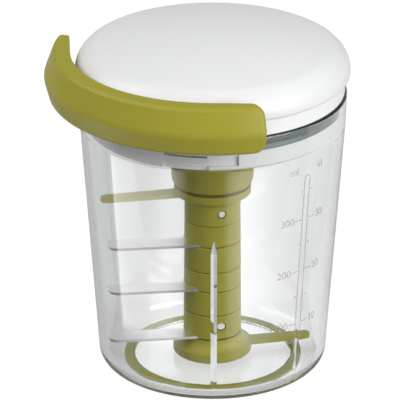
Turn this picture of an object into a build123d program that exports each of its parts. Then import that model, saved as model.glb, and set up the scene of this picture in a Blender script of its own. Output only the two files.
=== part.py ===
from build123d import *
from math import acos, atan2, cos, degrees, hypot, radians, sin, sqrt, tan
import os

# Millimetres and degrees. Z is the bowl's axis, the table is z = 0 and the handle pulls along -Y.
# Angles round the axis are counted from +X towards +Y.

# clearances
run_gap = 0.05  # shaft in a bore
slip_gap = 0.1  # pieces of one body that slide into each other
move_gap = 0.3  # pieces that move past each other
rotor_gap = 0.8  # blade column above the bowl's floor and boss
coupling_gap = 0.5  # blade column below the drive hub
grip_gap = 1.5  # handle outside the lid

# bowl
bowl_height = 103.4
bowl_rim_r = 47.0
bowl_taper = 6.9
collar_taper = 0.4
collar_depth = 11.9
bowl_wall = 2.0
bowl_floor = 2.4
bowl_corner_r = 5.6
rim_round = 0.7
rib_count = 2
rib_angle = -45.0
rib_width = 2.2
rib_depth = 0.7
rib_share = 0.624  # of the bowl's height
rib_taper = 5.0
rib_root = 0.3
foot_height = 0.6
foot_ring_inset = 8.6
foot_ring_width = 3.8
foot_ring_seat = 1.2
foot_ring_chamfer = 0.4
pivot_boss_r = 5.0
pivot_boss_height = 4.0
pivot_r = 2.0
pivot_reach = 6.2
pivot_seat = 1.2
pivot_chamfer = 0.8

# bayonet lock between bowl and lid
lock_count = 3
lug_angle = -67.8
lug_arc = 19.8
lug_drop = 7.1
lug_height = 3.3
lug_engage = 0.9
lock_turn = 13.5
lock_play = 0.6

# lid
skirt_gap = 1.0
skirt_wall = 2.8
skirt_depth = 12.4
skirt_chamfer = 0.8
flange_inset = 1.9
flange_thickness = 1.8
neck_height = 5.9
spigot_height = 0.9
spigot_wall = 2.0
deck_rise = 1.6
deck_thickness = 2.0
bearing_length = 5.0
bearing_wall = 3.0
seal_drop = 1.7
seal_height = 4.1
seal_groove = 1.4
seal_lip = 0.5
dome_height = 14.2
dome_overhang = 1.1
dome_edge_r = 8.8
dome_belly = 1.7
dome_lip_r = 1.0
dome_wall = 2.4
lid_screw_count = 3
lid_screw_inset = 5.0
lid_screw_angle = 90.0
lid_screw_r = 1.2
lid_screw_head_r = 2.6
lid_screw_head = 1.6
lid_screw_length = 9.0
lid_boss_r = 3.6

# blade column
base_flange_r = 14.0
base_cove = 4.4
base_chamfer = 0.5
base_height = 7.6
column_low_r = 10.3
column_top_r = 9.95
sleeve_shares = (0.203, 0.225, 0.159, 0.237, 0.176)  # of the sleeves' whole length
blade_under = {0: "lower_blade", 2: "middle_blade", 4: "upper_blade"}
sleeve_chamfer = 0.4
core_across = 11.0
core_share = 0.4  # of the drive hub's length
core_chamfer = 0.8
bush_wall = 1.6
bush_length = 5.0
blade_thickness = 1.0
blade_lip = 1.2  # the sleeve's wall round a blade's eye
blade_tip_gap = 0.6
blade_width = 9.2
blade_lead = 1.2
blade_corner_r = 3.6
blade_angle = 231.5
bevel_width = 2.8
bevel_height = 0.75
hub_sleeve = 7.2
hub_flare = 2.9
hub_rim = 2.6
hub_flange_r = 13.6
hub_pin_lift = 4.6
arm_angle = 236.5
arm_root_width = 5.6
arm_tip_width = 4.4
arm_thickness = 1.5
arm_drop = 0.8
upper_arm_gap = 1.4
lower_arm_gap = 1.9
lower_arm_lift = 1.0
cross_pin_r = 1.25
cross_pin_angle = -26.0
cross_pin_chamfer = 0.25
cross_pin_gap = 0.35

# drive hub and one-way clutch
drive_low_r = 14.2
drive_r = 15.2
drive_share = 0.283  # of the bowl's height
drive_taper_share = 0.4  # of the hub's length
drive_wall = 2.2
drive_chamfer = 2.4
drive_round = 2.6
neck_r = 7.5
key_side = 8.0
key_height = 1.2
cam_lift = 0.4
cam_thickness = 1.8
clutch_ring_r = 10.0
clutch_ring_wall = 2.0
roller_count = 3
roller_r = 1.2
pocket_depth = 4.3
pocket_width = 4.0
pocket_ramp = 8.0
hub_screw_r = 1.4
hub_screw_head_r = 5.0
hub_screw_head = 1.0
hub_screw_length = 6.0

# cord reel
axle_r = 2.5
axle_grip = 5.0
clip_r = 4.5
clip_groove = 0.5
clip_thickness = 0.7
reel_flange_r = 22.5
reel_flange = 1.4
reel_groove = 4.4
drum_r = 16.0
drum_wall = 2.0
reel_sleeve = 4.0
reel_sleeve_wall = 2.05
arbor_r = 6.2
spring_thickness = 0.45
spring_turns = 3
spring_height = 5.0
spring_gap = 0.6
cover_thickness = 0.8
cord_r = 1.0
winding_depth = 3.9
bend_inset = 7.1
eyelet_wall = 1.1
eyelet_bore_r = 1.5
eyelet_proud = 0.5

# handle
pull_angle = -90.0
grip_arc = 126.0
grip_relief = 20.0  # the ends' straight inner faces, in degrees of arc
grip_drop = 1.6
grip_height = 16.8
grip_top_width = 6.0
grip_depth = 9.4
grip_crease = 7.6
grip_undercut = 2.0
grip_crease_r = 4.0
grip_end_r = 4.0
grip_outer_round = 1.9
grip_inner_round = 0.7
liner_thickness = 1.6
liner_height = 7.8
liner_arc = 30.0
liner_play = 0.2
pocket_arc = 11.0
cord_pocket_height = 6.4
cord_pocket = 4.0
stop_r = 2.4
stop_length = 3.4
stop_chamfer = 0.6
handle_screw_angle = 11.0
handle_screw_r = 0.9
handle_screw_head_r = 1.8
handle_screw_head = 1.0
handle_screw_length = 4.0

# heights and radii that follow from the sizes above
bowl_base_r = bowl_rim_r - bowl_taper
bowl_collar_r = bowl_rim_r - collar_taper
skirt_r = bowl_collar_r - bowl_wall - skirt_gap
dome_r = bowl_rim_r + dome_overhang
base_z = foot_height
floor_z = base_z + bowl_floor
collar_z = bowl_height - collar_depth
boss_z = floor_z + pivot_boss_height
pivot_top = boss_z + pivot_reach
lug_high = bowl_height - lug_drop
lug_low = lug_high - lug_height
lug_in_r = skirt_r - lug_engage
skirt_in_r = skirt_r - skirt_wall
skirt_low = bowl_height - skirt_depth
flange_low = bowl_height + move_gap
dome_z = flange_low + neck_height
dome_top = dome_z + dome_height
flange_r = dome_r - flange_inset
lid_screw_circle_r = skirt_in_r - lid_screw_inset
rib_top_z = rib_share * bowl_height
deck_top = bowl_height + deck_rise
deck_low = deck_top - deck_thickness
seal_high = bowl_height - seal_drop
seal_low = seal_high - seal_height
belly_z = dome_z + dome_belly

shoulder_z = deck_low - bearing_length - move_gap
hub_length = drive_share * bowl_height
drive_z = shoulder_z - hub_length
unit_z = floor_z + rotor_gap
column_z = unit_z + base_height
hub_top = drive_z - coupling_gap
hub_z = hub_top - hub_sleeve - hub_flare - hub_rim
sleeve_sum = hub_z - column_z - blade_thickness * len(blade_under)
sleeve_lengths = [share * sleeve_sum for share in sleeve_shares]
core_top = hub_top + core_share * hub_length
lip_r = column_top_r - blade_lip
eye_r = lip_r - slip_gap

neck_top = deck_top + cam_lift
cam_r = clutch_ring_r - move_gap
cam_top = neck_top + cam_thickness
axle_low = cam_top + hub_screw_head + move_gap
clip_low = axle_low + move_gap
reel_z = clip_low + clip_thickness + slip_gap
groove_low = reel_z + reel_flange
groove_high = groove_low + reel_groove
reel_top = groove_high + reel_flange
cord_z = (groove_low + groove_high) / 2
arbor_low = reel_z + reel_sleeve + move_gap
lead_r = drum_r + winding_depth + slip_gap + cord_r
bend_y = dome_r - bend_inset
foot_ring_in_r = bowl_base_r - foot_ring_inset - foot_ring_width

# The dome's crown is an arc about the axis that meets the edge's arc without a corner.
edge_x = dome_r - dome_edge_r
crown_rise = dome_top - belly_z
crown_r = (edge_x**2 + crown_rise**2 - dome_edge_r**2) / (2 * (crown_rise - dome_edge_r))
crown_z = dome_top - crown_r
edge_angle = degrees(atan2(belly_z - crown_z, edge_x))

grip_in_r = dome_r + grip_gap
grip_z = bowl_height - grip_drop
grip_top = grip_z + grip_height
liner_out_r = grip_in_r + liner_thickness


def wall_r(z):  # the bowl's outer radius at a height
    if z < collar_z:
        share = (z - base_z) / (collar_z - base_z)
        return bowl_base_r + (bowl_collar_r - bowl_base_r) * share
    share = (z - collar_z) / (bowl_height - collar_z)
    return bowl_collar_r + (bowl_rim_r - bowl_collar_r) * share


def clear_r(z):  # the radius inside the bowl that its ribs leave free
    return wall_r(z) - bowl_wall - rib_depth


def dome_edge_at(z, inset=0.0):  # the dome's radius at a height within its rounded edge
    return edge_x + sqrt((dome_edge_r - inset) ** 2 - (z - belly_z) ** 2)


def under_crown(r):  # a height inside the dome's wall, at a radius under the crown
    return crown_z + sqrt((crown_r - dome_wall / 2) ** 2 - r**2)


def column_r(z):
    share = (z - column_z) / (hub_z - column_z)
    return column_low_r + (column_top_r - column_low_r) * share


def compass(angle):
    return Vector(cos(radians(angle)), sin(radians(angle)), 0)


def radial_plane(angle):  # upright, through the axis: x runs outwards and y is up
    return Plane(origin=(0, 0, 0), x_dir=compass(angle), z_dir=compass(angle - 90))


def turned_plane(z, angle):  # level: x runs outwards at the angle
    return Plane(origin=(0, 0, z), x_dir=compass(angle), z_dir=(0, 0, 1))


def facing_plane(r, z, angle):  # upright, across a radius, facing outwards
    return Plane(origin=compass(angle) * r + Vector(0, 0, z), x_dir=compass(angle + 90), z_dir=compass(angle))


def band(r_in, r_out, low, high, mode=Mode.ADD):  # one ring's section in an upright sketch
    with Locations(((r_in + r_out) / 2, (low + high) / 2)):
        Rectangle(r_out - r_in, high - low, mode=mode)


def hexagon(gap=0.0, mode=Mode.ADD, turn=0.0):
    RegularPolygon(core_across / 2 + gap, 6, major_radius=False, rotation=turn, mode=mode)


def paddle(tip_r):  # plan of a tapered arm with round ends
    with Locations((column_top_r, 0)):
        Circle(arm_root_width / 2)
    with Locations((tip_r - arm_tip_width / 2, 0)):
        Circle(arm_tip_width / 2)
    make_hull()


def cross_hole(z, gap=0.0):  # the cross pin's hole right through the current piece
    with Locations(facing_plane(0, z, cross_pin_angle)):
        Cylinder(cross_pin_r + gap, 2 * base_flange_r, mode=Mode.SUBTRACT)


def save(piece, name):
    piece.part.label = name
    export_step(piece.part, f"parts/{name}.step")


os.makedirs("parts", exist_ok=True)

# The bowl: one rib is lofted on its own, then patterned inside the turned beaker.
with BuildPart() as wall_rib:
    for z, share in ((base_z + bowl_corner_r, 1), (rib_top_z - rib_taper, 1), (rib_top_z, 0.1)):
        root_r = wall_r(z) - bowl_wall + rib_root
        half = rib_width * share / 2 * (1 + rib_root / (rib_depth * share))
        with BuildSketch(turned_plane(z, rib_angle)):
            with BuildLine():
                Polyline(
                    (root_r, -half), (root_r, half), (root_r - rib_root - rib_depth * share, 0), close=True
                )
            make_face()
    loft(ruled=True)

with BuildPart() as bowl:
    with BuildSketch(Plane.XZ):
        with BuildLine():
            FilletPolyline(
                (0, base_z),
                (wall_r(base_z), base_z),
                (bowl_collar_r, collar_z),
                (bowl_rim_r, bowl_height),
                (bowl_rim_r - bowl_wall, bowl_height),
                (bowl_collar_r - bowl_wall, collar_z),
                (wall_r(floor_z) - bowl_wall, floor_z),
                (0, floor_z),
                radius=(0, bowl_corner_r, 0, rim_round, rim_round, 0, bowl_corner_r - bowl_wall, 0),
                close=True,
            )
        make_face()
        band(0, pivot_boss_r, floor_z, boss_z)
        band(0, pivot_r, floor_z - pivot_seat, boss_z, Mode.SUBTRACT)
        band(foot_ring_in_r, foot_ring_in_r + foot_ring_width, base_z, base_z + foot_ring_seat, Mode.SUBTRACT)
    revolve(axis=Axis.Z)
    for turn in range(lock_count):
        with BuildSketch(radial_plane(lug_angle + 360 / lock_count * turn)):
            band(lug_in_r, wall_r(lug_low) - bowl_wall / 2, lug_low, lug_high)
        revolve(axis=Axis.Z, revolution_arc=lug_arc)
    with PolarLocations(0, rib_count):
        add(wall_rib.part)
save(bowl, "bowl")

with BuildPart() as non_slip_ring:
    with BuildSketch(Plane.XZ):
        band(foot_ring_in_r, foot_ring_in_r + foot_ring_width, 0, base_z + foot_ring_seat)
        chamfer(vertices().group_by(Axis.Y)[0], foot_ring_chamfer)
    revolve(axis=Axis.Z)
save(non_slip_ring, "non_slip_ring")

with BuildPart() as pivot_pin:
    with BuildSketch(Plane.XZ):
        band(0, pivot_r, floor_z - pivot_seat, pivot_top)
        chamfer(vertices().group_by(Axis.Y)[-1].sort_by(Axis.X)[-1], pivot_chamfer)
    revolve(axis=Axis.Z)
save(pivot_pin, "pivot_pin")

# The seal runs in a groove of the lid, with two lips towards the bowl.
seal_in_r = skirt_r - seal_groove + move_gap
seal_out_r = wall_r(seal_low) - bowl_wall - move_gap
seal_base = seal_low + move_gap
seal_crest = seal_high - move_gap
seal_waist = (seal_base + seal_crest) / 2
with BuildPart() as lid_seal:
    with BuildSketch(Plane.XZ):
        with BuildLine():
            Polyline(
                (seal_in_r, seal_base),
                (seal_out_r - seal_lip, seal_base),
                (seal_out_r, seal_base + seal_lip),
                (seal_out_r - seal_lip, seal_waist),
                (seal_out_r, seal_crest - seal_lip),
                (seal_out_r - seal_lip, seal_crest),
                (seal_in_r, seal_crest),
                close=True,
            )
        make_face()
    revolve(axis=Axis.Z)
save(lid_seal, "lid_seal")

# The lid's lower shell: skirt with three L-shaped slots, deck, drive bearing, flange and neck.
bearing_r = neck_r + run_gap
slot_floor_r = lug_in_r - move_gap
spigot_r = dome_r - dome_wall - slip_gap
with BuildPart() as lid_base:
    with BuildSketch(Plane.XZ):
        band(skirt_in_r, skirt_r, skirt_low, deck_low)
        chamfer(vertices().group_by(Axis.Y)[0].sort_by(Axis.X)[-1], skirt_chamfer)
        band(bearing_r, skirt_r, deck_low, deck_top)
        band(bearing_r, bearing_r + bearing_wall, deck_low - bearing_length, deck_low)
        band(skirt_in_r, flange_r, flange_low, flange_low + flange_thickness)
        band(spigot_r - spigot_wall, flange_r, flange_low, dome_z)
        band(spigot_r - spigot_wall, spigot_r, flange_low, dome_z + spigot_height)
        band(skirt_r - seal_groove, skirt_r, seal_low, seal_high, Mode.SUBTRACT)
    revolve(axis=Axis.Z)
    for turn in range(lock_count):
        start = lug_angle - lock_play + 360 / lock_count * turn
        with BuildSketch(radial_plane(start)):
            band(slot_floor_r, skirt_r, skirt_low, lug_high + move_gap)
        revolve(axis=Axis.Z, revolution_arc=lug_arc + 2 * lock_play, mode=Mode.SUBTRACT)
        with BuildSketch(radial_plane(start)):
            band(slot_floor_r, skirt_r, lug_low - move_gap, lug_high + move_gap)
        revolve(axis=Axis.Z, revolution_arc=lug_arc + 2 * lock_play + lock_turn, mode=Mode.SUBTRACT)
    with BuildSketch(Plane.XY.offset(deck_low)):
        with PolarLocations(lid_screw_circle_r, lid_screw_count, start_angle=lid_screw_angle):
            Circle(lid_screw_r + slip_gap)
    extrude(amount=deck_thickness, mode=Mode.SUBTRACT)
save(lid_base, "lid_base")

# The dome: crown and edge are tangent arcs, with the screw bosses and the reel's arbor under it.
axle_top = arbor_low + axle_grip
eyelet_r = eyelet_bore_r + eyelet_wall
with BuildPart() as lid_dome:
    with BuildSketch(Plane.XZ):
        with BuildLine():
            crown = CenterArc((0, crown_z), crown_r, 90, edge_angle - 90)
            edge = CenterArc((edge_x, belly_z), dome_edge_r, edge_angle, -edge_angle)
            lip = CenterArc((dome_r - dome_lip_r, dome_z + dome_lip_r), dome_lip_r, 0, -90)
            Line(edge @ 1, lip @ 0)
            inner_edge = CenterArc((edge_x, belly_z), dome_edge_r - dome_wall, 0, edge_angle)
            inner_crown = CenterArc((0, crown_z), crown_r - dome_wall, edge_angle, 90 - edge_angle)
            Polyline(lip @ 1, (dome_r - dome_wall, dome_z), inner_edge @ 0)
            Line(inner_crown @ 1, crown @ 0)
        make_face()
        band(0, arbor_r, arbor_low, under_crown(arbor_r))
        band(0, axle_r, arbor_low, axle_top, Mode.SUBTRACT)
    revolve(axis=Axis.Z)
    with BuildSketch(Plane.XY.offset(deck_top)):
        with PolarLocations(lid_screw_circle_r, lid_screw_count, start_angle=lid_screw_angle):
            Circle(lid_boss_r)
    extrude(amount=under_crown(lid_screw_circle_r + lid_boss_r) - deck_top)
    with BuildSketch(Plane.XY.offset(deck_top)):
        with PolarLocations(lid_screw_circle_r, lid_screw_count, start_angle=lid_screw_angle):
            Circle(lid_screw_r)
    extrude(amount=lid_screw_length - deck_thickness + slip_gap, mode=Mode.SUBTRACT)
    with BuildSketch(facing_plane(edge_x, cord_z, pull_angle)):
        Circle(eyelet_r)
    extrude(amount=dome_edge_r + grip_gap, mode=Mode.SUBTRACT)
save(lid_dome, "lid_dome")

with BuildPart() as lid_screws:
    for plane, radius, amount in (
        (Plane.XY.offset(deck_low), lid_screw_head_r, -lid_screw_head),
        (Plane.XY.offset(deck_low), lid_screw_r, lid_screw_length),
    ):
        with BuildSketch(plane):
            with PolarLocations(lid_screw_circle_r, lid_screw_count, start_angle=lid_screw_angle):
                Circle(radius)
        extrude(amount=amount)
    with BuildSketch(Plane.XY.offset(deck_low - lid_screw_head)):
        with PolarLocations(lid_screw_circle_r, lid_screw_count, start_angle=lid_screw_angle):
            Rectangle(lid_screw_head_r, lid_screw_r / 2)
            Rectangle(lid_screw_r / 2, lid_screw_head_r)
    extrude(amount=lid_screw_head / 2, mode=Mode.SUBTRACT)
save(lid_screws, "lid_screws")

with BuildPart() as reel_axle:
    with BuildSketch(Plane.XZ):
        band(0, axle_r, axle_low, axle_top)
        band(axle_r - clip_groove, axle_r, clip_low, clip_low + clip_thickness, Mode.SUBTRACT)
    revolve(axis=Axis.Z)
save(reel_axle, "reel_axle")

with BuildPart() as axle_clip:
    with BuildSketch(Plane.XY.offset(clip_low)):
        Circle(clip_r)
        Circle(axle_r - clip_groove, mode=Mode.SUBTRACT)
        with Locations((clip_r, 0)):
            Rectangle(2 * clip_r, axle_r, mode=Mode.SUBTRACT)
    extrude(amount=clip_thickness)
save(axle_clip, "axle_clip")

eyelet_start = dome_edge_at(cord_z, dome_wall) - eyelet_proud
eyelet_end = dome_edge_at(cord_z) + eyelet_proud
with BuildPart() as cord_eyelet:
    with BuildSketch(facing_plane(eyelet_start, cord_z, pull_angle)):
        Circle(eyelet_r)
        Circle(eyelet_bore_r, mode=Mode.SUBTRACT)
    extrude(amount=eyelet_end - eyelet_start)
    chamfer(edges().group_by(Axis.Y)[0], eyelet_proud * 0.8)
save(cord_eyelet, "cord_eyelet")

# The reel: its cup holds the recoil spring, and the ring under it is the one-way clutch's race.
reel_bore_r = axle_r + run_gap
cup_r = drum_r - drum_wall
with BuildPart() as cord_reel:
    with BuildSketch(Plane.XZ):
        band(reel_bore_r, reel_flange_r, reel_z, groove_low)
        band(cup_r, drum_r, groove_low, groove_high)
        band(cup_r, reel_flange_r, groove_high, reel_top)
        band(reel_bore_r, reel_bore_r + reel_sleeve_wall, groove_low, reel_z + reel_sleeve)
        band(clutch_ring_r, clutch_ring_r + clutch_ring_wall, deck_top + 2 * move_gap, reel_z)
    revolve(axis=Axis.Z)
save(cord_reel, "cord_reel")

# A flat spiral of half circles about two centres, half a pitch apart.
spring_start = arbor_r + spring_gap + spring_thickness / 2
spring_pitch = (cup_r - spring_thickness / 2 - spring_start) / spring_turns
with BuildPart() as recoil_spring:
    with BuildSketch(Plane.XY.offset(groove_low)):
        with BuildLine():
            for half in range(2 * spring_turns):
                centre = (spring_pitch / 2 * (half % 2), 0)
                radius = spring_start + spring_pitch / 2 * half
                CenterArc(centre, radius + spring_thickness / 2, 180 * (half % 2), 180)
                CenterArc(centre, radius - spring_thickness / 2, 180 * (half % 2), 180)
            for end in (spring_start, cup_r - spring_thickness / 2):
                Line((end - spring_thickness / 2, 0), (end + spring_thickness / 2, 0))
        make_face()
    extrude(amount=spring_height)
save(recoil_spring, "recoil_spring")
print(f"recoil spring: {spring_turns} turns, {spring_pitch - spring_thickness:.2f} mm between turns")

with BuildPart() as spring_cover:
    with BuildSketch(Plane.XZ):
        band(arbor_r + move_gap, drum_r, reel_top, reel_top + cover_thickness)
    revolve(axis=Axis.Z)
save(spring_cover, "spring_cover")

with BuildPart() as cord_winding:
    with BuildSketch(Plane.XZ):
        band(drum_r, drum_r + winding_depth, groove_low, groove_high)
    revolve(axis=Axis.Z)
save(cord_winding, "cord_winding")

# The drive hub: cored from below round a hexagon socket, with its neck in the lid's bearing.
socket_r = (core_across / 2 + move_gap) / cos(radians(30)) + drive_wall
with BuildPart() as drive_hub:
    with BuildSketch(Plane.XZ):
        with BuildLine():
            FilletPolyline(
                (0, drive_z),
                (drive_low_r, drive_z),
                (drive_r, drive_z + drive_taper_share * hub_length),
                (drive_r, shoulder_z - drive_chamfer),
                (drive_r - drive_chamfer, shoulder_z),
                (neck_r, shoulder_z),
                (neck_r, neck_top),
                (0, neck_top),
                radius=(0, drive_round, 0, 0, 0, 0, 0, 0),
                close=True,
            )
        make_face()
        band(socket_r, drive_low_r - drive_wall, drive_z, shoulder_z - drive_wall, Mode.SUBTRACT)
    revolve(axis=Axis.Z)
    with BuildSketch(Plane.XY.offset(drive_z)):
        hexagon(move_gap)
    extrude(amount=core_top + coupling_gap - drive_z, mode=Mode.SUBTRACT)
    with BuildSketch(Plane.XY.offset(neck_top)):
        Rectangle(key_side, key_side)
    extrude(amount=key_height)
    with BuildSketch(Plane.XY.offset(neck_top + key_height)):
        Circle(hub_screw_r)
    extrude(amount=-hub_screw_length, mode=Mode.SUBTRACT)
save(drive_hub, "drive_hub")

roller_circle_r = cam_r - roller_r
with BuildPart() as clutch_cam:
    with BuildSketch(Plane.XY.offset(neck_top)):
        Circle(cam_r)
        Rectangle(key_side + 2 * slip_gap, key_side + 2 * slip_gap, mode=Mode.SUBTRACT)
        with PolarLocations(roller_circle_r, roller_count):
            with Locations((pocket_depth / 2 - roller_r - slip_gap, 0)):
                Rectangle(pocket_depth, pocket_width, rotation=pocket_ramp, mode=Mode.SUBTRACT)
    extrude(amount=cam_thickness)
save(clutch_cam, "clutch_cam")

with BuildPart() as clutch_rollers:
    with BuildSketch(Plane.XY.offset(neck_top + slip_gap)):
        with PolarLocations(roller_circle_r, roller_count):
            Circle(roller_r)
    extrude(amount=cam_thickness - 2 * slip_gap)
save(clutch_rollers, "clutch_rollers")

with BuildPart() as hub_screw:
    with BuildSketch(Plane.XZ):
        band(0, hub_screw_head_r, cam_top, cam_top + hub_screw_head)
        band(0, hub_screw_r, neck_top + key_height - hub_screw_length, cam_top)
    revolve(axis=Axis.Z)
save(hub_screw, "hub_screw")

# The blade column: base and hexagon core in one. Blades and sleeves are threaded on the core, and the
# sleeve above a blade closes round the blade's eye, with a slot that lets the blade out.
blade_tip_r = clear_r(column_z) - blade_tip_gap
lower_arm_tip_r = wall_r(floor_z) - bowl_wall - lower_arm_gap
upper_arm_tip_r = clear_r(hub_z) - upper_arm_gap
flare = base_flange_r - column_low_r
recess_r = pivot_boss_r + rotor_gap
recess_top = boss_z + rotor_gap
bush_r = pivot_r + run_gap + bush_wall
bush_top = recess_top + bush_length
pin_heights = (column_z + blade_thickness + sleeve_lengths[0] / 2, hub_z + hub_pin_lift)
with BuildPart() as spindle:
    with BuildSketch(Plane.XZ):
        with BuildLine():
            EllipticalCenterArc((base_flange_r, column_z), flare, base_cove, start_angle=180, arc_size=90)
            Polyline(
                (base_flange_r, column_z - base_cove),
                (base_flange_r, unit_z),
                (0, unit_z),
                (0, column_z),
                (column_low_r, column_z),
            )
        make_face()
        chamfer(vertices().group_by(Axis.Y)[0].sort_by(Axis.X)[-1], base_chamfer)
    revolve(axis=Axis.Z)
    with BuildSketch(turned_plane(unit_z + lower_arm_lift, arm_angle - 180)):
        paddle(lower_arm_tip_r)
    extrude(amount=arm_thickness)
    with BuildSketch(Plane.XY.offset(column_z)):
        hexagon()
    extrude(amount=core_top - column_z)
    chamfer(faces().sort_by(Axis.Z)[-1].edges(), core_chamfer)
    with BuildSketch(Plane.XZ):
        band(0, recess_r, unit_z, recess_top)
        band(0, bush_r, recess_top, bush_top)
        band(0, pivot_r + move_gap, bush_top, pivot_top + move_gap)
    revolve(axis=Axis.Z, mode=Mode.SUBTRACT)
    cross_hole(pin_heights[0])
    cross_hole(pin_heights[1])
save(spindle, "spindle")

with BuildPart() as spindle_bush:
    with BuildSketch(Plane.XZ):
        band(pivot_r + run_gap, bush_r, recess_top, bush_top)
    revolve(axis=Axis.Z)
save(spindle_bush, "spindle_bush")

z = column_z
for number, length in enumerate(sleeve_lengths):
    sleeve_z = z
    if number in blade_under:
        with BuildPart() as blade:
            with BuildSketch(turned_plane(z, blade_angle)):
                with Locations((blade_tip_r / 2, blade_width / 2 - blade_lead)):
                    Rectangle(blade_tip_r, blade_width)
                Circle(blade_tip_r, mode=Mode.INTERSECT)
                fillet(vertices().group_by(Axis.Y)[-1].sort_by(Axis.X)[-1], blade_corner_r)
                Circle(eye_r)
                hexagon(slip_gap, Mode.SUBTRACT, -blade_angle)
            extrude(amount=blade_thickness)
            with BuildSketch(facing_plane(column_low_r, z + blade_thickness, blade_angle)):
                with BuildLine():
                    Polyline(
                        (-blade_lead, 0),
                        (bevel_width - blade_lead, 0),
                        (-blade_lead, -bevel_height),
                        close=True,
                    )
                make_face()
            extrude(amount=blade_tip_r, mode=Mode.SUBTRACT)
        save(blade, blade_under[number])
        z += blade_thickness
    with BuildPart() as sleeve:
        with BuildSketch(Plane.XZ):
            with BuildLine():
                Polyline(
                    (0, sleeve_z),
                    (column_r(sleeve_z), sleeve_z),
                    (column_r(z + length), z + length),
                    (0, z + length),
                    close=True,
                )
            make_face()
            chamfer(vertices().group_by(Axis.X)[1:], sleeve_chamfer)
        revolve(axis=Axis.Z)
        with BuildSketch(Plane.XY.offset(z)):
            hexagon(slip_gap)
        extrude(amount=length, mode=Mode.SUBTRACT)
        if number in blade_under:
            with BuildSketch(turned_plane(sleeve_z, blade_angle)):
                Circle(lip_r)
                with Locations((column_low_r, blade_width / 2 - blade_lead)):
                    Rectangle(2 * column_low_r, blade_width + 2 * slip_gap)
            extrude(amount=blade_thickness, mode=Mode.SUBTRACT)
        if number == 0:
            cross_hole(pin_heights[0], cross_pin_gap)
    save(sleeve, f"sleeve_{number + 1}")
    z += length

neck_end = hub_z + hub_sleeve
with BuildPart() as top_hub:
    with BuildSketch(Plane.XZ):
        with BuildLine():
            cove = EllipticalCenterArc(
                (hub_flange_r, neck_end), hub_flange_r - column_top_r, hub_flare, start_angle=90, arc_size=90
            )
            Polyline(
                (column_top_r, neck_end),
                (column_top_r, hub_z),
                (0, hub_z),
                (0, hub_top),
                (hub_flange_r, hub_top),
                (hub_flange_r, neck_end + hub_flare),
            )
        make_face()
    revolve(axis=Axis.Z)
    with BuildSketch(turned_plane(hub_top - hub_rim - arm_drop, arm_angle)):
        paddle(upper_arm_tip_r)
    extrude(amount=arm_thickness)
    with BuildSketch(Plane.XY.offset(hub_z)):
        hexagon(slip_gap)
    extrude(amount=hub_top - hub_z, mode=Mode.SUBTRACT)
    cross_hole(pin_heights[1], cross_pin_gap)
save(top_hub, "top_hub")

with BuildPart() as cross_pins:
    for height in pin_heights:
        with BuildSketch(facing_plane(0, height, cross_pin_angle)):
            Circle(cross_pin_r)
        extrude(amount=column_r(height), both=True)
    chamfer(edges().filter_by(GeomType.CIRCLE), cross_pin_chamfer)
save(cross_pins, "cross_pins")

# The handle: a bent bar with a crease along its face, and a liner that holds the cord's end.
liner_low = cord_z - liner_height / 2
liner_high = cord_z + liner_height / 2
pocket_r = liner_out_r + cord_pocket
pocket_low = cord_z - cord_pocket_height / 2
outline_r = grip_in_r + grip_top_width - slip_gap


relief_turn = grip_arc / 2 - grip_relief
relief_length = grip_in_r * tan(radians(grip_relief)) + grip_depth
relief_r = grip_in_r / cos(radians(grip_relief))


def reach(edge):  # an edge's distance from the axis
    middle = edge @ 0.5
    return hypot(middle.X, middle.Y)


def at_end(edge):  # in the plane of one of the handle's ends
    middle = edge @ 0.5
    turn = degrees(atan2(middle.Y, middle.X)) - pull_angle
    return abs(abs(turn) - grip_arc / 2) < 0.1


def crease_line(edge):
    return edge.geom_type == GeomType.CIRCLE and grip_z + 1 < edge.center().Z < grip_top - 1


with BuildPart() as handle_grip:
    with BuildSketch(radial_plane(pull_angle - grip_arc / 2)):
        with BuildLine():
            FilletPolyline(
                (grip_in_r, grip_z),
                (grip_in_r + grip_depth - grip_undercut, grip_z),
                (grip_in_r + grip_depth, grip_z + grip_crease),
                (grip_in_r + grip_top_width, grip_top),
                (grip_in_r, grip_top),
                radius=(0, 0, grip_crease_r, 0, 0),
                close=True,
            )
        make_face()
    revolve(axis=Axis.Z, revolution_arc=grip_arc)
    for side in (-1, 1):
        with BuildSketch(turned_plane(grip_z, pull_angle + side * relief_turn)):
            with Locations((grip_in_r - grip_depth / 2, side * relief_length / 2)):
                Rectangle(grip_depth, relief_length)
        extrude(amount=grip_height, mode=Mode.SUBTRACT)
    end_lines = edges().filter_by(GeomType.LINE).filter_by(at_end)
    fillet(end_lines.group_by(Axis.Z)[0] + end_lines.group_by(Axis.Z)[-1], grip_end_r)
    fillet([e for e in edges() if reach(e) > outline_r and not crease_line(e)], grip_outer_round)
    fillet([e for e in edges() if reach(e) < relief_r + slip_gap], grip_inner_round)
    with BuildSketch(radial_plane(pull_angle - liner_arc / 2 - liner_play)):
        band(grip_in_r - slip_gap, liner_out_r, liner_low - slip_gap, liner_high + slip_gap)
    revolve(axis=Axis.Z, revolution_arc=liner_arc + 2 * liner_play, mode=Mode.SUBTRACT)
    with BuildSketch(radial_plane(pull_angle - pocket_arc / 2)):
        band(liner_out_r - slip_gap, pocket_r, pocket_low, pocket_low + cord_pocket_height)
    revolve(axis=Axis.Z, revolution_arc=pocket_arc, mode=Mode.SUBTRACT)
    for side in (-1, 1):
        with BuildSketch(facing_plane(grip_in_r, cord_z, pull_angle + side * handle_screw_angle)):
            Circle(handle_screw_r)
        extrude(amount=handle_screw_head + handle_screw_length, mode=Mode.SUBTRACT)
save(handle_grip, "handle_grip")

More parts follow.
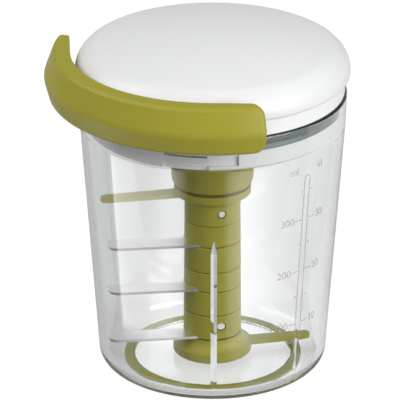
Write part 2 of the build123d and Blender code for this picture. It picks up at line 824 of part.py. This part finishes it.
with BuildPart() as handle_liner:
    with BuildSketch(radial_plane(pull_angle - liner_arc / 2)):
        band(grip_in_r, liner_out_r, liner_low, liner_high)
    revolve(axis=Axis.Z, revolution_arc=liner_arc)
    for side in (-1, 1):
        with BuildSketch(facing_plane(grip_in_r - slip_gap, cord_z, pull_angle + side * handle_screw_angle)):
            Circle(handle_screw_head_r + slip_gap)
        extrude(amount=handle_screw_head + slip_gap, mode=Mode.SUBTRACT)
        with BuildSketch(facing_plane(grip_in_r, cord_z, pull_angle + side * handle_screw_angle)):
            Circle(handle_screw_r + slip_gap)
        extrude(amount=2 * liner_thickness, mode=Mode.SUBTRACT)
    with BuildSketch(facing_plane(grip_in_r - liner_thickness, cord_z, pull_angle)):
        Circle(cord_r + slip_gap)
    extrude(amount=3 * liner_thickness, mode=Mode.SUBTRACT)
save(handle_liner, "handle_liner")

with BuildPart() as handle_screws:
    for side in (-1, 1):
        with BuildSketch(facing_plane(grip_in_r, cord_z, pull_angle + side * handle_screw_angle)):
            Circle(handle_screw_head_r)
        extrude(amount=handle_screw_head)
        with BuildSketch(facing_plane(grip_in_r, cord_z, pull_angle + side * handle_screw_angle)):
            Circle(handle_screw_r)
        extrude(amount=handle_screw_head + handle_screw_length)
        with BuildSketch(facing_plane(grip_in_r, cord_z, pull_angle + side * handle_screw_angle)):
            Rectangle(handle_screw_head_r, handle_screw_r / 2)
            Rectangle(handle_screw_r / 2, handle_screw_head_r)
        extrude(amount=handle_screw_head / 2, mode=Mode.SUBTRACT)
save(handle_screws, "handle_screws")

# The cord leaves the winding on a tangent, bends behind the eyelet and ends in a stop in the handle.
stop_y = -liner_out_r
wrap = degrees(acos(lead_r / bend_y))
start_point = compass(pull_angle + wrap) * lead_r + Vector(0, 0, cord_z)
bend_point = Vector(0, -bend_y, cord_z)
end_point = Vector(0, stop_y - stop_length, cord_z)
cord_turn = 90 - wrap
bend_r = 0.45 * (end_point - bend_point).length / tan(radians(cord_turn / 2))
with BuildPart() as cord_lead:
    with BuildLine() as route:
        FilletPolyline(start_point, bend_point, end_point, radius=bend_r)
    with BuildSketch(Plane(origin=start_point, z_dir=bend_point - start_point)):
        Circle(cord_r)
    sweep(path=route.wire())
save(cord_lead, "cord_lead")
print(f"cord lead: {2 * cord_r:.1f} mm thick, one bend of {cord_turn:.1f} degrees, radius {bend_r:.1f} mm")

with BuildPart() as cord_stop:
    with BuildSketch(facing_plane(-stop_y, cord_z, pull_angle)):
        Circle(stop_r)
        Circle(cord_r, mode=Mode.SUBTRACT)
    extrude(amount=stop_length)
    chamfer(edges().group_by(Axis.Y)[0].sort_by(SortBy.RADIUS)[-1], stop_chamfer)
save(cord_stop, "cord_stop")
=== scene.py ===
import math
import bpy
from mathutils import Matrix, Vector


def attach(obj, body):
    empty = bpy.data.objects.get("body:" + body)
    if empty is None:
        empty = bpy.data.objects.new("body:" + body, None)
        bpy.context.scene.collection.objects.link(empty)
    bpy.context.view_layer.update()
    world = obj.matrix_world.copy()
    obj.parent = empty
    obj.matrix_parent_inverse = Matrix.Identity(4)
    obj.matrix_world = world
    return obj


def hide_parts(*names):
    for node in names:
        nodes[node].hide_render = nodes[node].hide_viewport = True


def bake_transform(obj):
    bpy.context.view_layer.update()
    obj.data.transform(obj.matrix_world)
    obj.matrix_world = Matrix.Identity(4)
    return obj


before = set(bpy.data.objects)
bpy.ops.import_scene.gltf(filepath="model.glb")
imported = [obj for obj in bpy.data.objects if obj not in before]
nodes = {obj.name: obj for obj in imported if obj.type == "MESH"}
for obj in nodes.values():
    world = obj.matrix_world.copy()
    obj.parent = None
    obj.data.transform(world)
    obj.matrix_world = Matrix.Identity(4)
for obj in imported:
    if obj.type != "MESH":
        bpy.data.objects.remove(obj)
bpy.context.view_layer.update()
mm = 0.001
print("frame loaded:", len(nodes), "nodes")


# shader sockets that take part in Python arithmetic
class Wire:
    def __init__(self, shader, socket):
        self.shader = shader
        self.socket = socket

    def join(self, operation, first, second):
        return self.shader.node("ShaderNodeMath", {"operation": operation}, {0: first, 1: second})

    def __add__(self, other):
        return self.join("ADD", self, other)

    def __radd__(self, other):
        return self.join("ADD", other, self)

    def __sub__(self, other):
        return self.join("SUBTRACT", self, other)

    def __rsub__(self, other):
        return self.join("SUBTRACT", other, self)

    def __mul__(self, other):
        return self.join("MULTIPLY", self, other)

    def __rmul__(self, other):
        return self.join("MULTIPLY", other, self)

    def __gt__(self, other):
        return self.join("GREATER_THAN", self, other)


class Shader:
    def __init__(self, tree):
        self.tree = tree
        tree.nodes.clear()

    def node(self, kind, settings=None, sockets=None, out=0):
        made = self.tree.nodes.new(kind)
        for key, value in (settings or {}).items():
            if key == "stops":
                ramp = made.color_ramp.elements
                while len(ramp) < len(value):
                    ramp.new(1)
                for stop, (place, shade) in zip(ramp, value):
                    stop.position = place
                    stop.color = (*shade, 1)
            else:
                setattr(made, key, value)
        for key, value in (sockets or {}).items():
            if isinstance(value, Wire):
                self.tree.links.new(value.socket, made.inputs[key])
            else:
                made.inputs[key].default_value = value
        return Wire(self, made.outputs[out]) if len(made.outputs) else None

    def place(self, scale, turn=0.0):  # Object coordinates, turned about Z, in repeats per metre
        coord = self.node("ShaderNodeTexCoord", out="Object")
        if turn:
            sockets = {"Vector": coord, "Rotation": (0, 0, turn)}
            coord = self.node("ShaderNodeMapping", {"vector_type": "TEXTURE"}, sockets)
        return self.node("ShaderNodeMapping", {}, {"Vector": coord, "Scale": scale})

    def noise(self, scale, detail, turn=0.0):
        sockets = {"Vector": self.place(scale, turn), "Scale": 1, "Detail": detail}
        return self.node("ShaderNodeTexNoise", {}, sockets)

    def mix(self, factor, low, high):  # colour between two colours
        pair = [shade if isinstance(shade, Wire) else (*shade, 1) for shade in (low, high)]
        sockets = {0: factor, 6: pair[0], 7: pair[1]}
        return self.node("ShaderNodeMix", {"data_type": "RGBA"}, sockets, out=2)

    def span(self, value, low, high):  # 0 at low to 1 at high, held beyond
        sockets = {0: value, 1: low, 2: high}
        return self.node("ShaderNodeMapRange", {"interpolation_type": "SMOOTHSTEP"}, sockets)

    def bump(self, height, strength, depth):
        sockets = {"Height": height, "Strength": strength, "Distance": depth}
        return self.node("ShaderNodeBump", {}, sockets)

    def plain(self, **sockets):
        named = {key.replace("_", " "): value for key, value in sockets.items()}
        return self.node("ShaderNodeBsdfPrincipled", {}, named)

    def ray(self, kind):
        return self.node("ShaderNodeLightPath", out=kind)

    def show(self, surface, volume=None):
        sockets = {"Surface": surface} if volume is None else {"Surface": surface, "Volume": volume}
        self.node("ShaderNodeOutputMaterial", {}, sockets)


def newMaterial(name):
    material = bpy.data.materials.new(name)
    material.use_nodes = True
    return material, Shader(material.node_tree)


# satin moulded plastic, with a faint flow of colour and a fine spark-eroded grain
greenLook = {
    "low": (0.322, 0.292, 0.020), "high": (0.350, 0.318, 0.028),
    "rough": 0.42, "shine": 0.35, "grain": 0.00002,
}
ringLook = {
    "low": (0.255, 0.244, 0.001), "high": (0.295, 0.283, 0.002),
    "rough": 0.60, "shine": 0.1, "grain": 0.00003,
}
whiteLook = {
    "low": (0.78, 0.785, 0.79), "high": (0.81, 0.815, 0.82),
    "rough": 0.32, "shine": 0.5, "grain": 0.00001,
}
# painted light: the skirt is the lid's white plastic, set lighter than the dome's white because it sits in
# shade under the dome and behind the bowl
skirtLitLook = {
    "low": (0.855, 0.86, 0.86), "high": (0.885, 0.89, 0.89),
    "rough": 0.32, "shine": 0.5, "grain": 0.00001,
}
naturalLook = {
    "low": (0.66, 0.64, 0.58), "high": (0.74, 0.72, 0.67),
    "rough": 0.45, "shine": 0.4, "grain": 0.00002,
}
sealLook = {
    "low": (0.135, 0.16, 0.16), "high": (0.165, 0.195, 0.195),
    "rough": 0.38, "shine": 0.4, "grain": 0.00003,
}
moulding = {
    "flow": (35, 35, 22), "grain": (2600, 2600, 2600), "wear": (160, 160, 160),
    "wearRough": 0.1, "grainBump": 0.25,
}
sleeves = [f"sleeve_{n}" for n in range(1, 6)]
# colour and half width of the painted shade lines at the joints between the sleeves
seams = {"half": 0.16 * mm, "shade": (0.10, 0.088, 0.006)}


# painted shade: thin dark lines painted on the column where the sleeves meet, in place of the shadow in their
# joints
def seamLines(sh, colour, heights):
    z = sh.node("ShaderNodeSeparateXYZ", {}, {0: sh.place((1, 1, 1))}, out="Z")
    for height in heights:
        sockets = {0: z, 1: height, 2: seams["half"]}
        seam = sh.node("ShaderNodeMath", {"operation": "COMPARE"}, sockets)
        colour = sh.mix(seam, colour, seams["shade"])
    return colour


def mouldedPlastic(name, look, seamHeights=()):
    material, sh = newMaterial(name)
    flow = sh.noise(moulding["flow"], 2)
    grain = sh.noise(moulding["grain"], 2)
    wear = sh.noise(moulding["wear"], 4)
    colour = sh.mix(flow, look["low"], look["high"])
    if seamHeights:
        colour = seamLines(sh, colour, seamHeights)
    sh.show(sh.plain(
        Base_Color=colour,
        Roughness=look["rough"] - moulding["wearRough"] / 2 + wear * moulding["wearRough"],
        Specular_IOR_Level=look["shine"],
        Normal=sh.bump(grain, moulding["grainBump"], look["grain"]),
    ))
    return material


# clear plastic: lamp and diffuse rays go straight through, so that what is inside is lit softly
clearLook = {
    "tint": (0.985, 0.99, 0.99), "ior": 1.50, "shadow": (0.985, 0.99, 0.988),
    "ripples": (150, 150, 6), "rippleBump": 0.12, "rippleDepth": 0.00002,
    "haze": (420, 420, 60), "hazeRough": 0.012,
    "depthTint": (0.72, 0.74, 0.75), "density": 70.0,
}


def clearPlastic():
    material, sh = newMaterial("clearPlastic")
    ripple = sh.noise(clearLook["ripples"], 2)
    haze = sh.noise(clearLook["haze"], 3)
    body = sh.plain(
        Base_Color=(*clearLook["tint"], 1),
        Roughness=haze * clearLook["hazeRough"],
        IOR=clearLook["ior"],
        Transmission_Weight=1.0,
        Normal=sh.bump(ripple, clearLook["rippleBump"], clearLook["rippleDepth"]),
    )
    through = sh.node("ShaderNodeBsdfTransparent", {}, {"Color": (*clearLook["shadow"], 1)})
    lampOrDiffuse = sh.ray("Is Shadow Ray") + sh.ray("Is Diffuse Ray")
    surface = sh.node("ShaderNodeMixShader", {}, {0: lampOrDiffuse, 1: body, 2: through})
    sockets = {"Color": (*clearLook["depthTint"], 1), "Density": clearLook["density"]}
    depth = sh.node("ShaderNodeVolumeAbsorption", {}, sockets)
    sh.show(surface, depth)
    return material


# steel, ground in one direction
bladeLook = {
    "low": (0.66, 0.66, 0.655), "high": (0.78, 0.78, 0.77),
    "turn": 231.5, "rough": 0.22, "metal": 1.0,
}
pinLook = {
    "low": (0.82, 0.82, 0.80), "high": (0.90, 0.90, 0.88),
    "turn": 0.0, "rough": 0.30, "metal": 0.35,
}
springLook = {
    "low": (0.16, 0.165, 0.18), "high": (0.26, 0.26, 0.27),
    "turn": 0.0, "rough": 0.30, "metal": 1.0,
}
grinding = {
    "lines": (90, 5200, 900), "smears": (70, 70, 70), "lineRough": 0.14, "smearRough": 0.06,
    "lineBump": 0.2, "lineDepth": 0.00001,
}


def groundSteel(name, look):
    material, sh = newMaterial(name)
    lines = sh.noise(grinding["lines"], 3, math.radians(look["turn"]))
    smears = sh.noise(grinding["smears"], 3)
    sh.show(sh.plain(
        Base_Color=sh.mix(lines, look["low"], look["high"]),
        Metallic=look["metal"],
        Roughness=look["rough"] + lines * grinding["lineRough"] + smears * grinding["smearRough"],
        Normal=sh.bump(lines, grinding["lineBump"], grinding["lineDepth"]),
    ))
    return material


# braided cord
cordLook = {
    "low": (0.60, 0.58, 0.52), "high": (0.82, 0.80, 0.75),
    "strands": (1100, 1100, 1100), "rough": 0.75, "roughSpan": 0.15, "bump": 0.6, "depth": 0.0002,
}


def braidedCord():
    material, sh = newMaterial("braidedCord")
    sockets = {"Vector": sh.place(cordLook["strands"]), "Scale": 1}
    braid = sh.node("ShaderNodeTexVoronoi", {}, sockets)
    sh.show(sh.plain(
        Base_Color=sh.mix(braid, cordLook["high"], cordLook["low"]),
        Roughness=cordLook["rough"] + braid * cordLook["roughSpan"],
        Normal=sh.bump(1 - braid, cordLook["bump"], cordLook["depth"]),
    ))
    return material


# the raised lines of the fill scale, half clear and unevenly worn
markLook = {
    "low": (0.44, 0.445, 0.445), "high": (0.54, 0.545, 0.545), "fade": (500, 500, 500),
    "rough": 0.35, "roughSpan": 0.15, "alpha": 0.28, "alphaSpan": 0.22,
}


def markPlastic():
    material, sh = newMaterial("markPlastic")
    fade = sh.noise(markLook["fade"], 3)
    sh.show(sh.plain(
        Base_Color=sh.mix(fade, markLook["low"], markLook["high"]),
        Roughness=markLook["rough"] + fade * markLook["roughSpan"],
        Alpha=markLook["alpha"] + fade * markLook["alphaSpan"],
    ))
    return material


def dress(material, *names):
    for name in names:
        nodes[name].data.materials.clear()
        nodes[name].data.materials.append(material)


# the sleeves' tops, and the foot of the lowest one, where the painted seam shade goes
seamHeights = [max(corner[2] for corner in nodes[name].bound_box) for name in sleeves]
seamHeights.append(min(corner[2] for corner in nodes[sleeves[0]].bound_box))
print("seams at", [round(height / mm, 2) for height in seamHeights])
cordFabric = braidedCord()
dress(clearPlastic(), "bowl")
dress(mouldedPlastic("ringRubber", ringLook), "non_slip_ring")
dress(mouldedPlastic("sealSilicone", sealLook), "lid_seal")
dress(mouldedPlastic("skirtLitWhite", skirtLitLook), "lid_base")
dress(mouldedPlastic("lidWhite", whiteLook), "lid_dome")
dress(mouldedPlastic("gripGreen", greenLook), "handle_grip")
dress(
    mouldedPlastic("columnGreen", greenLook, seamHeights),
    "drive_hub", "spindle", "top_hub", *sleeves,
)
dress(groundSteel("bladeSteel", bladeLook), "lower_blade", "middle_blade", "upper_blade")
dress(
    groundSteel("pinSteel", pinLook),
    "pivot_pin", "cross_pins", "lid_screws", "handle_screws", "hub_screw", "reel_axle", "clutch_rollers",
)
dress(groundSteel("springSteel", springLook), "recoil_spring", "axle_clip")
dress(
    mouldedPlastic("naturalPlastic", naturalLook),
    "cord_eyelet", "cord_reel", "spring_cover", "clutch_cam", "handle_liner", "cord_stop", "spindle_bush",
)
dress(cordFabric, "cord_winding", "cord_lead")
print("materials on", len(nodes), "nodes")


# the fill scale: a raised outline bar, ticks and numbers, drawn flat and then laid on the bowl's wall
scaleMarks = {
    "angle": -0.4, "proud": 0.14 * mm, "sunk": 0.04 * mm,
    "barWidth": 2.8 * mm, "barLow": 8.3 * mm, "barHigh": 85.0 * mm, "line": 0.32 * mm,
    "barRound": 0.98, "barSegments": 6,
    "heights": {
        100: 27.2 * mm, 150: 38.0 * mm, 200: 47.9 * mm, 250: 58.4 * mm, 300: 68.0 * mm, 350: 78.9 * mm,
    },
    "numberEvery": 100, "longTick": 2.9 * mm, "shortTick": 1.0 * mm, "tickGap": 0.35 * mm,
    "text": 4.0 * mm, "textCurve": 4, "leftText": -7.9 * mm, "rightText": 7.4 * mm,
    "leftUnit": -6.32 * mm, "rightUnit": 6.29 * mm, "unitHeight": 87.2 * mm,
}
bowlWall = {"lowZ": 0.6 * mm, "lowR": 40.1 * mm, "highZ": 91.5 * mm, "highR": 46.6 * mm}


def clearSelection():
    for other in bpy.context.selected_objects:
        other.select_set(False)


def wallRadius(z):
    share = (z - bowlWall["lowZ"]) / (bowlWall["highZ"] - bowlWall["lowZ"])
    return bowlWall["lowR"] + (bowlWall["highR"] - bowlWall["lowR"]) * share


def flatPatch(left, right, low, high):
    clearSelection()
    bpy.ops.mesh.primitive_plane_add(size=1, location=((left + right) / 2, (low + high) / 2, 0))
    patch = bpy.context.active_object
    patch.scale = (right - left, high - low, 1)
    bpy.ops.object.transform_apply(location=True, rotation=True, scale=True)
    return patch


def barOutline():
    half = scaleMarks["barWidth"] / 2
    bar = flatPatch(-half, half, scaleMarks["barLow"], scaleMarks["barHigh"])
    bpy.ops.object.mode_set(mode="EDIT")
    bpy.ops.mesh.select_all(action="SELECT")
    rounding = half * scaleMarks["barRound"]
    bpy.ops.mesh.bevel(offset=rounding, segments=scaleMarks["barSegments"], affect="VERTICES")
    bpy.ops.mesh.select_all(action="SELECT")
    bpy.ops.mesh.inset(thickness=scaleMarks["line"])
    bpy.ops.mesh.delete(type="FACE")  # the inner face is still selected
    bpy.ops.object.mode_set(mode="OBJECT")
    return bar


def wordPatch(word, across, height):
    clearSelection()
    bpy.ops.object.text_add(location=(across, height, 0))
    piece = bpy.context.active_object
    piece.data.body = word
    piece.data.size = scaleMarks["text"]
    piece.data.align_x = "CENTER"
    piece.data.align_y = "CENTER"
    piece.data.resolution_u = scaleMarks["textCurve"]
    bpy.ops.object.convert(target="MESH")
    bpy.ops.object.transform_apply(location=True, rotation=True, scale=True)
    return bpy.context.active_object


patches = [barOutline()]
edge = scaleMarks["barWidth"] / 2 + scaleMarks["tickGap"]
stroke = scaleMarks["line"] / 2
for volume, height in scaleMarks["heights"].items():
    numbered = volume % scaleMarks["numberEvery"] == 0
    reach = scaleMarks["longTick"] if numbered else scaleMarks["shortTick"]
    patches.append(flatPatch(-edge - reach, -edge, height - stroke, height + stroke))
    patches.append(flatPatch(edge, edge + reach, height - stroke, height + stroke))
    if numbered:
        patches.append(wordPatch(str(volume), scaleMarks["leftText"], height))
        patches.append(wordPatch(str(volume // 10), scaleMarks["rightText"], height))  # in cl
patches.append(wordPatch("ml", scaleMarks["leftUnit"], scaleMarks["unitHeight"]))
patches.append(wordPatch("cl", scaleMarks["rightUnit"], scaleMarks["unitHeight"]))
clearSelection()
for patch in patches:
    patch.select_set(True)
bpy.context.view_layer.objects.active = patches[0]
bpy.ops.object.join()
fillScale = bpy.context.active_object
fillScale.name = "fillScale"
thicken = fillScale.modifiers.new("thicken", "SOLIDIFY")
thicken.thickness = scaleMarks["proud"] + scaleMarks["sunk"]
thicken.offset = 1
bpy.ops.object.modifier_apply(modifier="thicken")
for point in fillScale.data.vertices:  # wrapped round the wall, with the back of each line sunk in it
    across, height, lift = point.co
    radius = wallRadius(height)
    turn = math.radians(scaleMarks["angle"]) + across / radius
    radius += lift - scaleMarks["sunk"]
    point.co = (radius * math.cos(turn), radius * math.sin(turn), height)
bpy.ops.object.mode_set(mode="EDIT")
bpy.ops.mesh.select_all(action="SELECT")
bpy.ops.mesh.normals_make_consistent(inside=False)
bpy.ops.object.mode_set(mode="OBJECT")
fillScale.data.materials.clear()
fillScale.data.materials.append(markPlastic())
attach(fillScale, "bowl")
print("fill scale:", len(fillScale.data.polygons), "faces")


# the pull cord from the reel to the handle, drawn as one fixed tube between eyelet and grip; the real cord
# pays out there when the handle is pulled
cordRoute = {
    "points": [(18.04, -10.75, 113.2), (0.0, -41.0, 113.2), (0.0, -47.0, 113.2), (0.0, -54.6, 113.2)],
    "leaves": (0, -46.8 * mm, 113.2 * mm), "enters": (0, -50.6 * mm, 113.2 * mm),
    "radius": 1.0 * mm, "rings": 64, "roundness": 4,
}
clearSelection()
bpy.ops.curve.primitive_nurbs_curve_add()
pullCord = bpy.context.active_object
pullCord.name = "pullCord"
spline = pullCord.data.splines[0]
for point, place in zip(spline.points, cordRoute["points"]):
    point.co = (*[value * mm for value in place], 1)
spline.use_endpoint_u = True
spline.order_u = 3
pullCord.data.resolution_u = cordRoute["rings"]
pullCord.data.bevel_depth = cordRoute["radius"]
pullCord.data.bevel_resolution = cordRoute["roundness"]
pullCord.data.use_fill_caps = True
bpy.ops.object.convert(target="MESH")
bpy.ops.object.shade_smooth()
pullCord = bpy.context.active_object
pullCord.data.materials.clear()
pullCord.data.materials.append(cordFabric)
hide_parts("cord_lead")
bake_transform(pullCord)
print("pull cord:", len(pullCord.data.polygons), "faces")


# studio: pale floor, soft panels, and a glowing card on the table that only gloss sees
view = {
    "azimuth": 44.5, "elevation": 23.56, "distance": 1.5, "lens": 382.0,
    "right": -4.417 * mm, "up": 0.986 * mm,
}
studio = {
    "floorSize": 8.0, "paper": 0.25, "paperFleck": 0.02, "flecks": (3, 3, 3), "paperRough": 0.9,
    "glow": 0.82, "inGloss": 0.40, "panelSize": 0.8,
    "skyLow": 0.30, "skyHigh": 0.28, "skyTop": 0.9, "skyThrough": 0.84,
}
# the floor as it is seen through the bowl, with painted shade: dimmer to the left and right, a painted shadow
# round the bowl's foot, and a dim sheet ahead where it is mirrored
throughBowlShade = {
    "left": 0.40, "leftEnd": 32 * mm, "leftShade": (45 * mm, 5 * mm),
    "right": 0.86, "rightEnd": -45 * mm,
    "ahead": 0.08, "aheadFrom": 50 * mm,
    "base": 0.45, "baseIn": (31 * mm, 36 * mm), "baseOut": (47 * mm, 43 * mm),
    "baseFront": (-10 * mm, 20 * mm), "ringIn": (32 * mm, 28 * mm),
}
card = {
    "strength": 5.4, "size": 1200 * mm, "lift": 0.05 * mm,
    "edge": 33.3 * mm, "edgeSoft": 3.0 * mm, "edgeTurn": 11.4,
    "leftFrom": (66 * mm, 84 * mm), "rightFrom": (56 * mm, 86 * mm), "halves": 20 * mm,
    "ends": (230 * mm, 190 * mm),
    "steep": (0.28, 0.42), "flat": (0.66, 0.58),  # its grid lets light out between these angles
    "sweep": [  # degrees round the bowl, brightness
        (-110, 0.07), (-75, 0.22), (-35, 0.80), (-22, 0.53), (-12, 0.04), (28, 0.03), (41, 0.60), (54, 1.0),
    ],
    "hiddenFrom": ("camera", "diffuse", "transmission", "volume_scatter", "shadow"),
}
panels = {
    "frontPanel": {"at": (0.21, -0.78, 0.96), "watts": 3.8, "gloss": True},
    "rightPanel": {"at": (1.00, 0.09, 0.42), "watts": 9.6, "gloss": True},
    "backPanel": {"at": (-0.45, 0.80, 0.80), "watts": 1.5, "gloss": False},
    "leftPanel": {"at": (-0.64, -0.53, 0.83), "watts": 5.6, "gloss": True},
}
aimPoint = Vector((0, 0, 60 * mm))
azimuth, elevation = math.radians(view["azimuth"]), math.radians(view["elevation"])


def aimAt(thing, target):
    thing.rotation_euler = (target - thing.location).to_track_quat("-Z", "Y").to_euler()


def tablePlane(name, size, height):
    clearSelection()
    bpy.ops.mesh.primitive_plane_add(size=size, location=(0, 0, height))
    plane = bpy.context.active_object
    plane.name = name
    material, sh = newMaterial(name)
    plane.data.materials.append(material)
    coord = sh.node("ShaderNodeTexCoord", out="Object")
    x = sh.node("ShaderNodeSeparateXYZ", {}, {0: coord}, out="X")
    y = sh.node("ShaderNodeSeparateXYZ", {}, {0: coord}, out="Y")
    front = x * math.sin(azimuth) - y * math.cos(azimuth)
    left = x * -math.cos(azimuth) - y * math.sin(azimuth)
    reach = sh.node("ShaderNodeVectorMath", {"operation": "LENGTH"}, {0: coord}, out="Value")
    return sh, front, left, reach


sh, front, left, reach = tablePlane("paleFloor", studio["floorSize"], 0)
# painted shade: the floor seen through the bowl is dimmed to the right, and more to the left behind the bowl
through = sh.span(left, throughBowlShade["rightEnd"], 0.0) * (1 - throughBowlShade["right"]) + throughBowlShade["right"]
leftShade = sh.span(left, 0.0, throughBowlShade["leftEnd"]) * sh.span(front, *throughBowlShade["leftShade"])
through = through - leftShade * (1 - throughBowlShade["left"])
# painted shadow in a ring round the bowl's foot, seen only through the bowl
base = sh.span(reach, *throughBowlShade["baseIn"]) * sh.span(reach, *throughBowlShade["baseOut"])
base = base * sh.span(front, *throughBowlShade["baseFront"])
through = through * (1 - base * (1 - throughBowlShade["base"]))
through = through + (1 - through) * sh.span(reach, *throughBowlShade["ringIn"])
cameraRay, clearRay = sh.ray("Is Camera Ray"), sh.ray("Is Transmission Ray")
level = cameraRay + clearRay * through + sh.ray("Is Glossy Ray") * (1 - clearRay) * studio["inGloss"]
glowColour = sh.node("ShaderNodeCombineColor", {}, {0: level, 1: level, 2: level})
glow = sh.node("ShaderNodeEmission", {}, {"Color": glowColour, "Strength": studio["glow"]})
paperShades = [(studio["paper"] + fleck,) * 3 for fleck in (0, studio["paperFleck"])]
paper = sh.plain(
    Base_Color=sh.mix(sh.noise(studio["flecks"], 2), *paperShades),
    Roughness=studio["paperRough"],
)
lit = sh.node("ShaderNodeAddShader", {}, {0: paper, 1: glow})
# painted shade: a dim sheet in place of the floor for mirrored rays that land ahead of the bowl
aheadShade = sh.node("ShaderNodeEmission", {}, {"Color": (1, 1, 1, 1), "Strength": throughBowlShade["ahead"]})
mirrored = sh.ray("Glossy Depth") > 0.5  # one reflection or more
returned = clearRay * mirrored * (front > 0.0) * (reach > throughBowlShade["aheadFrom"])
sh.show(sh.node("ShaderNodeMixShader", {}, {0: returned, 1: lit, 2: aheadShade}))

sh, front, left, reach = tablePlane("glossCard", card["size"], card["lift"])
glossCard = bpy.context.active_object
around = left.join("ARCTAN2", left, front) * (180 / math.pi)
stops = [((angle + 180) / 360, (level,) * 3) for angle, level in card["sweep"]]
sweep = sh.node("ShaderNodeValToRGB", {"stops": stops}, {0: sh.span(around, -180, 180)})
turn = math.radians(card["edgeTurn"])
edgeLine = front * math.cos(turn) + left * math.sin(turn)
ahead = sh.span(edgeLine, card["edge"] - card["edgeSoft"], card["edge"] + card["edgeSoft"])
rightHand = sh.span(left, 0.0, -card["halves"])
begun = sh.span(reach, *card["leftFrom"]) * (1 - rightHand) + sh.span(reach, *card["rightFrom"]) * rightHand
slant = sh.node("ShaderNodeLayerWeight", {}, {"Blend": 0.5}, out="Facing")
grid = sh.span(slant, *card["steep"]) * sh.span(slant, *card["flat"])
shown = (ahead + rightHand - ahead * rightHand) * begun * sh.span(reach, *card["ends"]) * grid
bright = sh.node("ShaderNodeEmission", {}, {"Color": sweep, "Strength": card["strength"]})
bare = sh.node("ShaderNodeBsdfTransparent")
sh.show(sh.node("ShaderNodeMixShader", {}, {0: shown, 1: bare, 2: bright}))
for kind in card["hiddenFrom"]:
    setattr(glossCard, "visible_" + kind, False)

world = bpy.data.worlds.new("studioWorld")
bpy.context.scene.world = world
world.use_nodes = True
sh = Shader(world.node_tree)
direction = sh.node("ShaderNodeTexCoord", out="Generated")
height = sh.node("ShaderNodeSeparateXYZ", {}, {0: direction}, out="Z")
rise = sh.span(height, 0.0, studio["skyTop"])
level = rise * (studio["skyHigh"] - studio["skyLow"]) + studio["skyLow"]
cameraRay, clearRay = sh.ray("Is Camera Ray"), sh.ray("Is Transmission Ray")
strength = level * (1 - cameraRay - clearRay) + cameraRay + clearRay * studio["skyThrough"]
background = sh.node("ShaderNodeBackground", {}, {"Color": (1, 1, 1, 1), "Strength": strength})
sh.node("ShaderNodeOutputWorld", {}, {"Surface": background})

for name, panel in panels.items():
    clearSelection()
    bpy.ops.object.light_add(type="AREA", location=panel["at"])
    lamp = bpy.context.active_object
    lamp.name = name
    lamp.data.size = studio["panelSize"]
    lamp.data.energy = panel["watts"]
    lamp.visible_glossy = lamp.visible_transmission = panel["gloss"]
    aimAt(lamp, aimPoint)
print("studio:", len(panels), "panels")


# camera at the photo's angle
back = Vector((
    math.sin(azimuth) * math.cos(elevation),
    -math.cos(azimuth) * math.cos(elevation),
    math.sin(elevation),
))
right = Vector((math.cos(azimuth), math.sin(azimuth), 0))
up = back.cross(right)
middle = aimPoint + right * view["right"] + up * view["up"]
bpy.ops.object.camera_add(location=middle + back * view["distance"])
camera = bpy.context.active_object
camera.data.lens = view["lens"]
aimAt(camera, middle)
bpy.context.scene.camera = camera
bpy.context.scene.view_settings.view_transform = "Standard"
